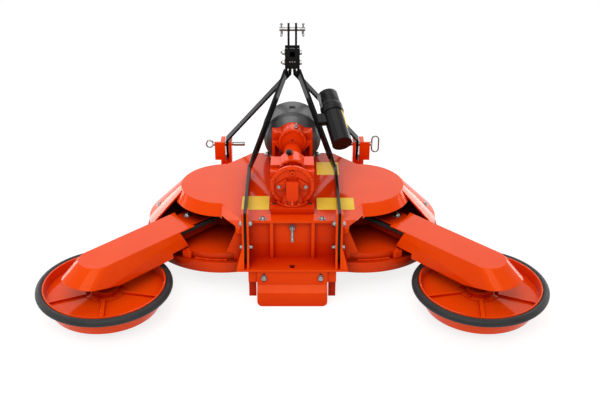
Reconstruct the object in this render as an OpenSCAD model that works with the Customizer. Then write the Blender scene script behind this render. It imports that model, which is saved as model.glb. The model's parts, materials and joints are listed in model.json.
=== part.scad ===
// Orchard rotary mower: twin-rotor deck with two swing arms, each with a free-turning guard disc.
// Lengths in millimetres. X is to the machine's right, Y forward to the tractor, Z up.

/* [Rotors and deck] */
// Distance between the two rotor axes
rotor_spacing = 606; // [500:1:800]
// Outside radius of the deck rim
deck_r = 357.5; // [300:0.5:450]
// Height of the rim's lower edge
rim_z = 99; // [60:1:160]
// Height of the deck plate's top
deck_z = 180; // [140:1:220]
// Height of the flange around the raised plate
flange_z = 148; // [120:1:170]
// Raised plate's edge inside the rim
step_in = 25.5; // [15:0.5:60]
// Deck plate thickness
deck_t = 8; // [4:1:15]
// Rim wall thickness
rim_t = 6; // [3:1:12]
// Half width of the middle part of the deck
mid_half = 233; // [180:1:280]
// Rear end of the middle part inside the rim's radius
rear_in = 37.5; // [30:0.5:80]
// Front end of the middle part beyond the rim's radius
front_out = 32.5; // [0:0.5:90]
// Shaft hole in the deck plate
shaft_hole_r = 30; // [22:1:45]

/* [Hood] */
// Height of the flat top
hood_z = 350; // [300:1:420]
// Radius of the flat top above each rotor
hood_top_r = 195; // [150:1:250]
// Foot of the cone inside the rim
cone_in = 11.5; // [1:0.5:22]
// Height of the foot of the cone
cone_z = 200; // [185:1:280]
// Hood sheet thickness
hood_t = 5; // [3:1:10]
// Rear edge of the top behind the rear wall's front
hood_back = 30; // [10:1:80]
// Front edge of the top inside the deck rim's radius
hood_in = 39.5; // [0:0.5:80]
// Half width of the top's rear edge
rear_half = 207; // [150:1:260]
// Half width of the top's front edge
front_half = 190; // [150:1:260]
// Where the rear facets begin, behind the rotor axes
facet_start = 197; // [150:1:260]
// Where the rear facets end, behind the rear wall's front
facet_back = 6; // [0:1:29]
// Height of the lower edge of the rear facets
facet_z = 287; // [270:1:300]
// Spread of the rear facets at their lower edge
facet_out = 22; // [10:1:80]
// Height of the visor edge above the arm opening
visor_z = 300; // [280:1:340]
// Radius of the visor edge
visor_r = 225; // [200:1:260]
// Height of the opening's edge under the rear facets
facet_edge_z = 310; // [300:1:330]
// Where the arm opening begins, degrees behind the side
open_from = 20; // [10:1:28]
// Where the arm opening ends under the rear facets, degrees behind the side
open_to = 101; // [80:1:110]
// Half width of the notch for the driveline guard
notch_half = 108; // [80:1:150]
// Where that notch begins
notch_y = 206; // [150:1:260]
// Depth of that notch
notch_deep = 60; // [30:1:100]
// Height of the lip along the hood's rear edge
lip_h = 12; // [5:1:30]

/* [Rear frame] */
// Rear wall thickness
wall_t = 8; // [4:1:15]
// Half width of the wall at its foot
wall_foot = 287; // [230:1:300]
// Half width of the wall at its top
wall_head = 198; // [150:1:200]
// Half width of the wall at its shoulders
wall_wide = 241; // [200:1:242]
// Height of the wall's side edges at the foot
wall_foot_z = 172; // [150:1:200]
// Height of the shoulders
wall_wide_z = 284; // [250:1:286]
// Height where the shoulders end
wall_knee = 315; // [290:1:330]
// Rib distance from the middle
rib_x = 87; // [50:1:150]
// Rib thickness
rib_t = 14; // [6:1:20]
// Rib depth
rib_d = 20; // [10:1:21]
// Height of the rear plate's top
plate_z = 165; // [160:1:175]
// Rear plate depth, from the rear wall's front
plate_d = 120; // [80:1:180]
// Rear plate thickness
plate_t = 10; // [6:1:15]
// Hole in the rear plate
plate_hole_r = 14; // [8:1:20]
// Middle of that hole ahead of the rear plate's edge
plate_hole_in = 30; // [15:1:60]
// Tension bolt radius
tension_r = 6.5; // [4:0.5:10]
// Tension bolt height
tension_z = 307; // [250:1:320]
// Reach of the tension bolt beyond the rear plate's edge
tension_out = 5; // [-40:1:20]
// Tension bolt nut across flats
tension_nut = 24; // [16:1:36]
// Tension bolt nut thickness
tension_nut_t = 11; // [8:1:20]

/* [Stays and brackets] */
// Stay distance from the middle over the deck
stay_x = 195; // [150:1:230]
// Stay bar thickness
stay_t = 12; // [6:1:20]
// Stay bar depth
stay_d = 50; // [30:1:80]
// Underside of the level leg
stay_z = 360; // [352:1:400]
// Rear end of the stay ahead of the rear plate's edge
stay_in = 42; // [10:1:70]
// Depth of the upright leg
stay_leg_d = 45; // [30:1:60]
// Lower end of the upright leg
stay_foot_z = 185; // [180:1:260]
// Where the stay bends up and inward
stay_bend_y = 65; // [-50:1:100]
// Stay distance from the middle at the mast
stay_top_x = 28; // [20:1:28]
// Height of the stay's middle at the mast
stay_top_z = 746; // [650:1:760]
// Top of the stay's upright end in the mast
stay_tab_z = 850; // [800:1:860]
// Bracket plate thickness
bracket_t = 9; // [5:1:15]
// Bracket plate depth
bracket_d = 46; // [40:1:90]
// Bracket plate top
bracket_z = 406; // [360:1:450]

/* [Mast and hitch] */
// Mast middle ahead of the rotor axes
mast_y = 370; // [320:1:600]
// Half width of the mast plates
mast_half = 34; // [25:0.5:50]
// Mast plate thickness
mast_t = 8; // [6:0.5:20]
// Mast block depth
mast_d = 50; // [30:1:80]
// Mast block bottom
mast_z = 764; // [680:1:800]
// Mast block top
mast_top = 862; // [800:1:900]
// Window in the mast's rear plate: half width, bottom and top
mast_window = [12, 822, 846];
// Clevis plate thickness
clevis_t = 10; // [6:1:15]
// Clevis plates' rise above the mast
clevis_rise = 113; // [70:1:160]
// Clevis plate inner face
clevis_x = 12; // [10:1:14]
// Clevis plates' depth in the mast
clevis_in = 54; // [32:1:62]
// Top link pin radius
top_pin_r = 9.5; // [8:0.5:16]
// Top link pin below the clevis plates' top
top_pin_in = 29; // [20:1:45]
// Half length of the top link pin
top_pin_half = 59; // [45:1:80]
// Linch pin radius
linch_r = 4; // [2:0.5:6]
// Linch pin length
linch_l = 44; // [30:1:60]
// Linch pin distance from the pin's end
linch_in = 9; // [6:1:15]
// A-frame bar thickness
abar_t = 12; // [8:1:20]
// A-frame bar depth
abar_d = 40; // [30:1:60]
// Tab thickness at the mast
abar_tab = 14; // [13:1:18]
// A-frame foot distance from the middle
abar_x = 323; // [250:1:400]
// A-frame bend height
abar_bend_z = 732; // [700:1:760]
// A-frame bend distance from the middle
abar_bend_x = 10; // [7:0.5:15]
// A-frame foot height
abar_foot_z = 240; // [180:1:280]
// Height where the A-frame foot ends
abar_knee_z = 342; // [340:1:400]
// A-frame top height
abar_top_z = 806; // [780:1:807]
// A-frame middle at the foot's end, ahead of the deck
abar_out = 110; // [60:1:170]
// Lower pin position ahead of the deck
low_pin_ahead = 120; // [60:1:210]
// Lower pin height
low_pin_z = 310; // [250:1:400]
// Inner end of the lower pin's groove
low_neck_in = 294; // [250:1:296]
// Radius in that groove
low_neck_r = 9; // [6:0.5:10]
// Lower pin radius
low_pin_r = 11; // [9:0.5:18]
// Inner end of the lower pin
low_pin_in = 236; // [200:1:280]
// Outer end of the lower pin
low_pin_out = 395; // [380:1:450]
// Ring handle radius
ring_r = 20; // [12:1:30]
// Ring handle wire radius
ring_wire_r = 4; // [2:0.5:6]
// Lower bracket inner plate, inner face
low_in = 300; // [260:1:320]
// Lower bracket inner plate thickness
low_in_t = 14; // [8:1:20]
// Lower bracket outer plate, inner face
low_out = 333; // [325:1:360]
// Lower bracket outer plate thickness
low_out_t = 22; // [10:1:30]
// Lower bracket flange width
low_flange = 29; // [10:1:50]
// Lower bracket flange thickness
low_flange_t = 10; // [6:1:15]
// Lower bracket flange foot
low_flange_z = 240; // [180:1:260]
// Lower bracket top
low_top = 335; // [325:1:400]
// Lower bracket front end ahead of the deck
low_ahead = 155; // [140:1:210]
// Running clearance of a pin in its hole
pin_gap = 0.3; // [0.1:0.05:0.5]
// Hitch beam section
beam_s = 80; // [50:1:120]
// Hitch beam bottom
beam_z = 130; // [100:1:180]

/* [Driveline] */
// Input axis height
drive_z = 460; // [400:1:520]
// Gearbox half width
box_half = 92; // [80:1:110]
// Steps of the rear gearbox: rear face and top of each
rear_steps = [[-238, 524], [-203, 537]];
// Front end of the rear gearbox
rear_box_end = -118; // [-130:1:-60]
// Steps of the front gearbox: rear face and top of each
front_steps = [[110, 502], [136, 536]];
// Front end of the front gearbox
front_box_end = 193; // [180:1:200]
// Rear end of the gearbox feet, rear and front
foot_rear = [-292, 60];
// Gearbox foot top
box_foot_z = 378; // [365:1:395]
// Pocket in the front gearbox: half width, depth, bottom and top
pocket = [78, 40, 378, 488];
// Radius of the round dome on each gearbox
dome_r = 60; // [45:1:75]
// Height of the domes' axis
dome_z = 503; // [490:1:515]
// Front dome's reach before its box
dome_out = 5; // [2:1:12]
// Gearbox cover radius
cover_r = 93; // [80:1:110]
// Gearbox cover thickness
cover_t = 12; // [8:1:25]
// Width of the rim around the rear cover
cover_rim = 16; // [8:1:30]
// Depth inside that rim
cover_deep = 6; // [2:1:10]
// Half width of the boss on the rear cover
boss_half = 26; // [15:1:40]
// Height of the boss's round end and top
boss_line = [417, 488];
// Rear end of the boss
boss_rear = 270; // [255:1:290]
// Coupling tube radius
coupling_r = 42; // [30:1:60]
// Input shaft radius
input_r = 17.45; // [15:0.05:25]
// Running clearance of a shaft in its bore
run_gap = 0.05; // [0.02:0.01:0.1]
// Depth of the input journal in the gearbox
input_in = 30; // [15:1:60]
// Radius of the input journal
journal_r = 15; // [10:0.5:17]
// Length of the journal outside the gearbox
journal_out = 6; // [3:1:15]
// Front end of the input shaft
input_end = 340; // [300:1:400]
// Guard radius at the gearbox
guard_in_r = 84; // [60:1:100]
// Guard shoulder: distance from the gearbox and radius
guard_shoulder = [[23, 118], [37, 132]];
// Guard radius at its front end
guard_r = 141; // [120:1:180]
// Front end of the guard
guard_end = 352; // [300:1:420]
// Guard wall thickness
guard_t = 4; // [2:1:8]

/* [Document tube] */
// Tube middle
tube_at = [193, 215, 572];
// Tube rise in degrees
tube_rise = 28.4; // [0:0.1:60]
// Tube turn to the middle in degrees
tube_turn = 14.1; // [0:0.1:40]
// Tube radius
tube_r = 46; // [30:1:70]
// Tube length
tube_l = 294; // [200:1:400]
// Cap radius
cap_r = 52; // [35:1:80]
// Cap length
cap_l = 120; // [60:1:160]
// Tube holder length
holder_l = 50; // [40:1:150]
// Tube holder reach
holder_w = 36; // [20:1:100]
// Tube holder height
holder_h = 30; // [20:1:80]

/* [Rear skid] */
// Half width of the skid
skid_half = 148; // [100:1:200]
// Skid sheet thickness
skid_t = 8; // [5:1:12]
// Skid flange ahead of the rear plate's edge
skid_in = 16; // [0:1:40]
// Skid steps: distance behind the flange and height
skid_line = [[0, 155], [0, 86], [26, 61], [34, 0]];
// Corner radius at the skid's foot
skid_corner = 22; // [5:1:40]
// Leg inner edge
leg_x = 154; // [120:1:170]
// Leg width
leg_w = 31; // [15:1:50]
// Leg rear face ahead of the rear plate's edge
leg_in = 55; // [20:1:80]
// Leg depth
leg_d = 40; // [10:1:60]
// Cross bar height between the legs
cross_h = 60; // [30:1:80]

/* [Main rotors] */
// Rotor shaft radius
shaft_r = 20; // [15:0.5:30]
// Room outside the blade tips
tip_gap = 29; // [20:1:70]
// Blade lower face
blade_z = 55; // [40:1:90]
// Blade thickness
blade_t = 8; // [4:1:12]
// Blade width
blade_w = 60; // [40:1:90]
// Number of blades on each main rotor
blade_n = 2; // [2:1:4]
// Carrier radius
carrier_r = 120; // [80:1:180]
// Carrier thickness
carrier_t = 14; // [8:1:20]
// Saucer radius
saucer_r = 140; // [90:1:180]
// Saucer flat radius
saucer_flat = 90; // [50:1:120]
// Saucer rise to its edge
saucer_h = 25; // [10:1:40]
// Saucer edge thickness
saucer_t = 7; // [4:1:12]
// Rotor hub radius
hub_r = 50; // [35:1:80]
// Belt pulley radius on the main shaft
pulley_r = 62; // [50:1:80]
// Pivot post radius
post_r = 60; // [45:1:70]
// Pivot post flange radius
post_flange_r = 85; // [70:1:100]
// Pivot post flange thickness
post_flange_t = 4; // [3:1:8]

/* [Swing arms] */
// Arm angle as parked, degrees behind the side
arm_rest = 46; // [40:1:60]
// Room between the bumper and the deck
arm_gap = 45; // [10:1:150]
// Arm beam half width
beam_half = 40; // [25:1:60]
// Arm beam bottom
arm_z = 189; // [186:1:200]
// Arm beam top
arm_top = 228; // [210:1:240]
// Arm eye radius
eye_r = 96; // [80:1:110]
// Cover top
cover_z = 262; // [250:1:290]
// Cover bottom
cover_foot = 164; // [154:1:190]
// Cover sheet thickness
cover_sheet = 4; // [2:1:6]
// Cover half width at the top
cover_half = 76; // [60:1:90]
// Cover half width at the bottom
cover_foot_half = 90; // [80:1:110]
// Cover nose radius at the bottom
cover_nose_r = 104; // [90:1:150]
// Cover nose distance beyond the disc axis at the bottom
cover_nose_x = 128; // [0:1:160]
// Cover end beyond the disc axis at the top, to its round's middle
cover_end_x = 23; // [0:1:60]
// Start of the nose's rising edge before the disc axis
cover_lift_in = 15; // [0:1:60]
// Rise of that edge to the nose's foot
cover_lift = 53; // [0:1:70]
// Middle of the arc at the cover's inner end
cover_arc = [52, 22];
// Radius of that arc
cover_in_r = 207; // [180:1:240]
// Inner end of the rear side wall, at its foot and at its top
cover_side_in = [299, 333];
// Height of the side walls' lower edge over the deck
cover_over_z = 186; // [184:1:200]
// End of that raised edge
cover_over_end = 390; // [370:1:420]
// Belt height above the beam
belt_up = 3; // [2:1:8]
// Belt width
belt_h = 15; // [6:1:16]
// Apron plate in front of the cover: inner end, front side and rear side
apron = [110, -60, 54];
// Apron plate underside
apron_z = 250; // [248:1:252]
// Apron plate thickness
apron_t = 5; // [3:1:6]
// Belt thickness
belt_t = 10; // [6:1:14]
// Belt clearance to its pulley
belt_gap = 1; // [0.5:0.1:2]
// Cover post positions along the arm
cover_post_x = [350, 560];
// Cover post half width
cover_post_half = 18; // [10:1:25]

/* [Guard discs] */
// Disc wall radius
disc_r = 253; // [220:1:280]
// Draft of the disc wall
disc_draft = 25; // [0:1:30]
// Disc wall foot height
disc_foot = 40; // [25:1:70]
// Disc wall top
disc_z = 136; // [110:1:150]
// Disc sheet thickness
disc_t = 6; // [3:1:10]
// Disc floor top
floor_z = 97; // [85:1:110]
// Rib height on the disc floor
disc_rib_h = 9; // [4:1:15]
// Rib width on the disc floor
disc_rib_w = 16; // [8:1:30]
// Number of ribs on the disc floor
disc_rib_n = 5; // [4:1:8]
// Angle of the first rib from the arm, degrees
disc_rib_turn = 50; // [0:1:90]
// Disc hub plate radius
disc_hub_r = 84; // [60:1:110]
// Disc collar radius
collar_r = 58; // [45:1:70]
// Disc collar top
collar_z = 117; // [105:1:125]
// Disc collar bottom
collar_foot = 86; // [80:1:92]
// Bearing neck radius
neck_r = 34; // [28:1:45]
// Bearing neck bottom
neck_z = 76; // [70:1:84]
// Bearing housing radius
housing_r = 46; // [38:1:60]
// Bearing housing bottom
housing_z = 121; // [119:1:150]
// Running clearance of the disc collar
collar_gap = 0.1; // [0.05:0.01:0.2]
// Bumper section's middle outside the disc wall
bumper_out = 13; // [10:0.5:22]
// Bumper section radius
bumper_r = 16.5; // [15:0.5:35]
// Bumper height
bumper_z = 120; // [100:1:140]
// Room outside the disc blade tips
disc_tip_gap = 7; // [5:1:40]
// Disc blade width
disc_blade_w = 45; // [30:1:70]
// Disc carrier radius
disc_carrier_r = 110; // [80:1:150]
// Disc carrier top
disc_carrier_z = 71; // [60:1:75]
// Disc saucer radius
disc_saucer_r = 100; // [80:1:140]
// Disc saucer flat radius
disc_saucer_flat = 62; // [40:1:90]
// Disc saucer rise
disc_saucer_h = 22; // [10:1:30]
// Pulley radius on the disc shaft
disc_pulley_r = 38; // [30:1:50]

/* [Show] */
// Piece to draw

/* [Hidden] */
$fn = 64;
sliver = 0.02;
over = 2;
half_spacing = rotor_spacing / 2;
step_r = deck_r - step_in;
cone_r = deck_r - cone_in;
blade_r = step_r - rim_t - tip_gap;
mid_rear = deck_r - rear_in;
mid_front = deck_r + front_out;
hood_front = deck_r - hood_in;
wall_y = mid_rear;
wall_top = hood_z - hood_t - pin_gap;
hood_rear = wall_y + hood_back;
facet_end = wall_y + facet_back;
plate_rear = wall_y + plate_d;
plate_hole_y = plate_rear - plate_hole_in;
tension_end = plate_rear + tension_out;
stay_rear = plate_rear - stay_in;
skid_y = plate_rear - skid_in;
leg_y = plate_rear - leg_in;
abar_y = mid_front + abar_out;
low_pin_y = mid_front + low_pin_ahead;
low_front = mid_front + low_ahead;
ring_mid_r = disc_r + bumper_out;
disc_foot_r = disc_r - disc_draft;
disc_blade_r = disc_foot_r - disc_t - disc_tip_gap;
arm_l = deck_r + ring_mid_r + bumper_r + arm_gap;
cover_nose_end = arm_l + cover_nose_x + cover_nose_r + over;
box_front = front_box_end + cover_t;
pulley_z = arm_top + over;
pulley_h = cover_z - cover_sheet - pulley_z - over;
front_y = low_front;
rear_y = -arm_l * sin(arm_rest) - ring_mid_r - bumper_r;
mid_y = (front_y + rear_y) / 2;
lean = atan((abar_y - mast_y) / (abar_top_z - abar_knee_z));
mast_in = mast_d / 2 - mast_t;
abar_end_z = mast_z - mast_t;
clevis_z = mast_top + clevis_rise;
clevis_foot_z = mast_top - clevis_in;
top_pin_z = clevis_z - top_pin_in;
filler_z = abar_foot_z - abar_d / 2 * sin(lean);
rise = atan((stay_top_z - stay_z - stay_d / 2) / (mast_y - stay_bend_y));
rise_l = (mast_y - stay_bend_y) / cos(rise);

module place() translate([0, -mid_y, 0]) children();
module right() mirror([1, 0, 0]) children();
module paint() color("orangered") children();
module black() color("dimgray") children();
module bright() color("silver") children();
module at_rotors() for (side = [-1, 1]) translate([side * half_spacing, 0, 0]) children();
module ybar(r, y0, y1) translate([0, y0, 0]) rotate([-90, 0, 0]) cylinder(r = r, h = y1 - y0);
module xbar(r, x0, x1) translate([x0, 0, 0]) rotate([0, 90, 0]) cylinder(r = r, h = x1 - x0);
module block(x0, x1, y0, y1, z0, z1) translate([x0, y0, z0]) cube([x1 - x0, y1 - y0, z1 - z0]);

// Deck

module deck_outline(inset) {
    at_rotors() circle(r = deck_r - inset);
    translate([-mid_half + inset, -mid_rear + inset])
        square([2 * (mid_half - inset), mid_rear + mid_front - 2 * inset]);
}

module deck_pan() paint() difference() {
    union() {
        translate([0, 0, rim_z]) linear_extrude(flange_z - rim_z) difference() {
            deck_outline(0);
            deck_outline(rim_t);
        }
        translate([0, 0, flange_z - deck_t]) linear_extrude(deck_t) deck_outline(0);
        translate([0, 0, flange_z - deck_t]) linear_extrude(deck_z + deck_t - flange_z)
            deck_outline(deck_r - step_r);
    }
    translate([0, 0, flange_z - deck_t - over]) linear_extrude(deck_z + over - flange_z)
        deck_outline(deck_r - step_r + rim_t);
    translate([0, 0, rim_z]) at_rotors() cylinder(r = shaft_hole_r, h = deck_z);
}

module sector(from, to) translate([-half_spacing, 0, 0]) rotate([0, 0, 180 + from])
    rotate_extrude(angle = to - from) children();

module skirt_solid(inset) sector(-180, open_from) polygon([
    [0, flange_z], [cone_r - inset, flange_z], [cone_r - inset, cone_z - inset],
    [hood_top_r - inset, hood_z - inset], [0, hood_z - inset]]);

module visor_solid(inset) translate([-half_spacing, 0, 0]) rotate_extrude() polygon([
    [0, visor_z], [visor_r - inset, visor_z], [hood_top_r - inset, hood_z - inset], [0, hood_z - inset]]);

module front_outline(inset) polygon([
    [-half_spacing, -inset], [half_spacing, -inset], [half_spacing, hood_top_r - inset],
    [front_half - inset, hood_front - inset], [inset - front_half, hood_front - inset],
    [-half_spacing, hood_top_r - inset]]);

module rear_outline(inset, out) polygon([
    [-half_spacing - out, inset], [half_spacing + out, inset],
    [half_spacing + out, inset - facet_start - out],
    [rear_half + out - inset, inset - hood_rear], [inset - rear_half - out, inset - hood_rear],
    [-half_spacing - out, inset - facet_start - out]]);

module rear_top(inset) polygon([
    [-half_spacing, inset], [half_spacing, inset], [half_spacing, inset - facet_start],
    [rear_half - inset, inset - facet_end], [rear_half - inset, inset - hood_rear],
    [inset - rear_half, inset - hood_rear], [inset - rear_half, inset - facet_end],
    [-half_spacing, inset - facet_start]]);

module rear_hull(inset) hull() {
    translate([0, 0, hood_z - inset - sliver]) linear_extrude(sliver) rear_top(inset);
    translate([0, 0, facet_z]) linear_extrude(sliver) rear_outline(inset, facet_out);
}

module hood_side(inset) {
    skirt_solid(inset);
    visor_solid(inset);
}

module hood_solid(inset) {
    hood_side(inset);
    right() hood_side(inset);
    translate([0, 0, flange_z]) linear_extrude(hood_z - inset - flange_z) front_outline(inset);
    rear_hull(inset);
}

module arm_opening() {
    block(-half_spacing - facet_out - over, over - half_spacing, -hood_rear, over, facet_z - over, visor_z);
    sector(90, open_to) translate([0, flange_z]) square([deck_r, facet_edge_z - flange_z]);
}

module hood() paint() difference() {
    hood_solid(0);
    translate([0, 0, -sliver]) hood_solid(hood_t);
    arm_opening();
    right() arm_opening();
    linear_extrude(deck_z) deck_outline(deck_r - step_r);
    block(-notch_half, notch_half, notch_y, hood_front + over, hood_z - notch_deep, hood_z + over);
    block(-wall_head - hood_t, wall_head + hood_t, -hood_rear - over, -wall_y,
        facet_z - over, hood_z - lip_h);
}

// Rear frame

module rear_frame() paint() difference() {
    union() {
        translate([0, -wall_y, 0]) rotate([90, 0, 0]) linear_extrude(wall_t) polygon([
            [-wall_foot, flange_z], [wall_foot, flange_z], [wall_foot, wall_foot_z], [wall_wide, wall_wide_z],
            [wall_head, wall_knee], [wall_head, wall_top], [-wall_head, wall_top],
            [-wall_head, wall_knee], [-wall_wide, wall_wide_z], [-wall_foot, wall_foot_z]]);
        for (x = [-rib_x, rib_x])
            block(x - rib_t / 2, x + rib_t / 2, -wall_y - wall_t - rib_d, -wall_y - wall_t,
                plate_z, hood_z - lip_h);
        block(-mid_half, mid_half, -plate_rear, -wall_y - wall_t, plate_z - plate_t, plate_z);
    }
    translate([0, -plate_hole_y, plate_z - plate_t - over])
        cylinder(r = plate_hole_r, h = plate_t + 2 * over);
    linear_extrude(deck_z) deck_outline(deck_r - step_r - pin_gap);
    translate([0, 0, tension_z]) ybar(tension_r + pin_gap, -wall_y - wall_t - over, -wall_y + over);
}

module tension_bolt() bright() translate([0, 0, tension_z]) {
    ybar(tension_r, -tension_end, -wall_y + tension_nut_t);
    for (y = [-wall_y - wall_t - tension_nut_t, -wall_y])
        translate([0, y, 0]) rotate([-90, 0, 0]) cylinder(d = tension_nut, h = tension_nut_t, $fn = 6);
}

// Stays

module stay_brackets() paint() for (side = [-1, 1], edge = [-1, 1])
    translate([side * stay_x + edge * (stay_t + bracket_t) / 2 - bracket_t / 2, -stay_rear, plate_z])
        cube([bracket_t, bracket_d, bracket_z - plate_z]);

module stay_left() black() {
    block(-stay_x - stay_t / 2, -stay_x + stay_t / 2, -stay_rear, stay_bend_y, stay_z, stay_z + stay_d);
    block(-stay_x - stay_t / 2, -stay_x + stay_t / 2, -stay_rear, stay_leg_d - stay_rear,
        stay_foot_z, stay_z);
    translate([0, stay_bend_y, stay_z + stay_d / 2]) rotate([rise, 0, 0])
        linear_extrude(stay_d, center = true) polygon([
            [-stay_x - stay_t / 2, -stay_d / 3], [-stay_x + stay_t / 2, -stay_d / 3],
            [-stay_x + stay_t / 2, 0], [-stay_top_x + stay_t / 2, rise_l], [-stay_top_x - stay_t / 2, rise_l],
            [-stay_x - stay_t / 2, 0]]);
    block(-stay_top_x - stay_t / 2, -stay_top_x + stay_t / 2, mast_y - mast_in, mast_y + mast_in,
        stay_top_z - stay_t, stay_tab_z);
}

module stay_right() right() stay_left();

// Mast

module mast_block() black() difference() {
    for (side = [-1, 1]) translate([0, mast_y + side * (mast_d - mast_t) / 2, (mast_z + mast_top) / 2])
        cube([2 * mast_half, mast_t, mast_top - mast_z], center = true);
    block(-mast_window[0], mast_window[0], mast_y - mast_d, mast_y, mast_window[1], mast_window[2]);
}

module top_clevis() black() difference() {
    for (side = [-1, 1]) translate([side * (clevis_x + clevis_t / 2), mast_y, 0]) {
        translate([0, 0, (clevis_foot_z + clevis_z - mast_in) / 2])
            cube([clevis_t, 2 * mast_in, clevis_z - mast_in - clevis_foot_z], center = true);
        translate([0, 0, clevis_z - mast_in]) xbar(mast_in, -clevis_t / 2, clevis_t / 2);
    }
    translate([0, mast_y, top_pin_z]) xbar(top_pin_r + pin_gap, -mast_half, mast_half);
}

module top_link_pin() bright() translate([0, mast_y, top_pin_z]) {
    xbar(top_pin_r, -top_pin_half, top_pin_half);
    for (side = [-1, 1]) translate([side * (top_pin_half - linch_in), 0, -linch_l / 2])
        cylinder(r = linch_r, h = linch_l);
}

// Lower hitch

function along_lean(z) = (z - abar_knee_z) / cos(lean);

module a_bar_left() black() difference() {
    union() {
        translate([0, abar_y, abar_knee_z]) rotate([90 + lean, 0, 0])
            linear_extrude(abar_d, center = true) polygon([
                [-abar_x - abar_t / 2, along_lean(abar_foot_z)],
                [-abar_x + abar_t / 2, along_lean(abar_foot_z)],
                [-abar_x + abar_t / 2, 0], [-abar_bend_x + abar_t / 2, along_lean(abar_bend_z)],
                [-abar_bend_x + abar_t / 2, along_lean(abar_end_z)],
                [-abar_bend_x - abar_t / 2, along_lean(abar_end_z)],
                [-abar_bend_x - abar_t / 2, along_lean(abar_bend_z)], [-abar_x - abar_t / 2, 0]]);
        block(-abar_bend_x - abar_tab / 2, -abar_bend_x + abar_tab / 2, mast_y - mast_in, mast_y + mast_in,
            abar_end_z - mast_t, abar_top_z);
    }
    translate([0, low_pin_y, low_pin_z]) xbar(low_pin_r + pin_gap, -abar_x - abar_t, -abar_x + abar_t);
}

module a_bar_right() right() a_bar_left();

module hitch_beam() paint()
    block(-low_out - low_out_t - low_flange, low_out + low_out_t + low_flange, mid_front, mid_front + beam_s,
        beam_z, beam_z + beam_s);

module hitch_bracket_left() paint() difference() {
    union() {
        block(-low_in - low_in_t, -low_in, mid_front + beam_s, low_front, beam_z, low_top);
        block(-low_out - low_out_t, -low_out, mid_front + beam_s, low_front, beam_z, low_top);
        block(-low_out, -low_in - low_in_t, mid_front + beam_s, low_front, beam_z, filler_z);
        block(-low_out - low_out_t - low_flange, -low_out - low_out_t, mid_front + beam_s,
            mid_front + beam_s + low_flange_t, low_flange_z, low_top);
    }
    translate([0, low_pin_y, low_pin_z])
        xbar(low_pin_r + pin_gap, -low_out - low_out_t - over, -low_in + over);
}

module hitch_bracket_right() right() hitch_bracket_left();

module hitch_pin_left() bright() translate([0, low_pin_y, low_pin_z]) {
    xbar(low_pin_r, -low_pin_out, -low_in + sliver);
    xbar(low_neck_r, -low_in, -low_neck_in);
    xbar(low_pin_r, -low_neck_in, -low_pin_in);
    translate([-low_pin_out, 0, 0]) rotate([90, 0, 0]) rotate_extrude()
        translate([ring_r, 0]) circle(r = ring_wire_r);
}

module hitch_pin_right() right() hitch_pin_left();

// Driveline

module gearbox(steps, foot, end) {
    block(-box_half, box_half, foot, end, hood_z, box_foot_z);
    for (s = steps) block(-box_half, box_half, s[0], end, box_foot_z, s[1]);
}

module gearbox_rear() paint() {
    gearbox(rear_steps, foot_rear[0], rear_box_end);
    translate([0, 0, dome_z]) ybar(dome_r, rear_steps[1][0] - dome_out, rear_box_end);
    translate([0, rear_steps[0][0], drive_z]) difference() {
        ybar(cover_r, -cover_t, 0);
        ybar(cover_r - cover_rim, -cover_t - over, cover_deep - cover_t);
    }
    translate([0, 0, boss_line[0]]) ybar(boss_half, -boss_rear, rear_steps[0][0]);
    block(-boss_half, boss_half, -boss_rear, rear_steps[0][0], boss_line[0], boss_line[1]);
}

module gearbox_front() paint() difference() {
    union() {
        difference() {
            gearbox(front_steps, foot_rear[1], front_box_end);
            block(-pocket[0], pocket[0], front_steps[0][0] - over, front_steps[0][0] + pocket[1],
                pocket[2], pocket[3]);
        }
        translate([0, 0, drive_z]) ybar(coupling_r, rear_box_end, front_box_end);
        translate([0, 0, dome_z]) ybar(dome_r, front_steps[0][0] - dome_out, front_box_end);
        translate([0, front_box_end, drive_z]) ybar(cover_r, 0, cover_t);
    }
    translate([0, box_front, drive_z]) ybar(journal_r + run_gap, -input_in - over, over);
}

module pto_guard() black()
    translate([0, box_front, drive_z]) rotate([-90, 0, 0]) rotate_extrude() polygon(concat(
    [[guard_in_r - guard_t, 0], [guard_in_r, 0]], guard_at(0), [[guard_r, guard_end - box_front],
    [guard_r - guard_t, guard_end - box_front]], guard_at(guard_t, -1)));

function guard_at(in, way = 1) = [for (i = way > 0 ? [0, 1] : [1, 0])
    [guard_shoulder[i][1] - in, guard_shoulder[i][0] + in]];

module pto_shaft() bright() translate([0, box_front, drive_z]) {
    ybar(journal_r, -input_in, journal_out);
    ybar(input_r, journal_out, input_end - box_front);
}

// Document tube

module tube_frame() translate(tube_at) rotate([0, 0, tube_turn]) rotate([tube_rise, 0, 0]) children();

module document_tube() black() {
    tube_frame() difference() {
        ybar(tube_r, -tube_l / 2, tube_l / 2 - cap_l / 2);
        ybar(tube_r - guard_t, guard_t - tube_l / 2, tube_l / 2);
    }
    difference() {
        tube_frame() block(-tube_r - holder_w, guard_t / 2 - tube_r, tube_l / 2 - cap_l - over - holder_l,
            tube_l / 2 - cap_l - over, -holder_h / 2, holder_h / 2);
        stay_right();
    }
}

module tube_cap() black() tube_frame() difference() {
    ybar(cap_r, tube_l / 2 - cap_l, tube_l / 2);
    ybar(tube_r, tube_l / 2 - cap_l - over, tube_l / 2 - guard_t);
}

// Skid

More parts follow.
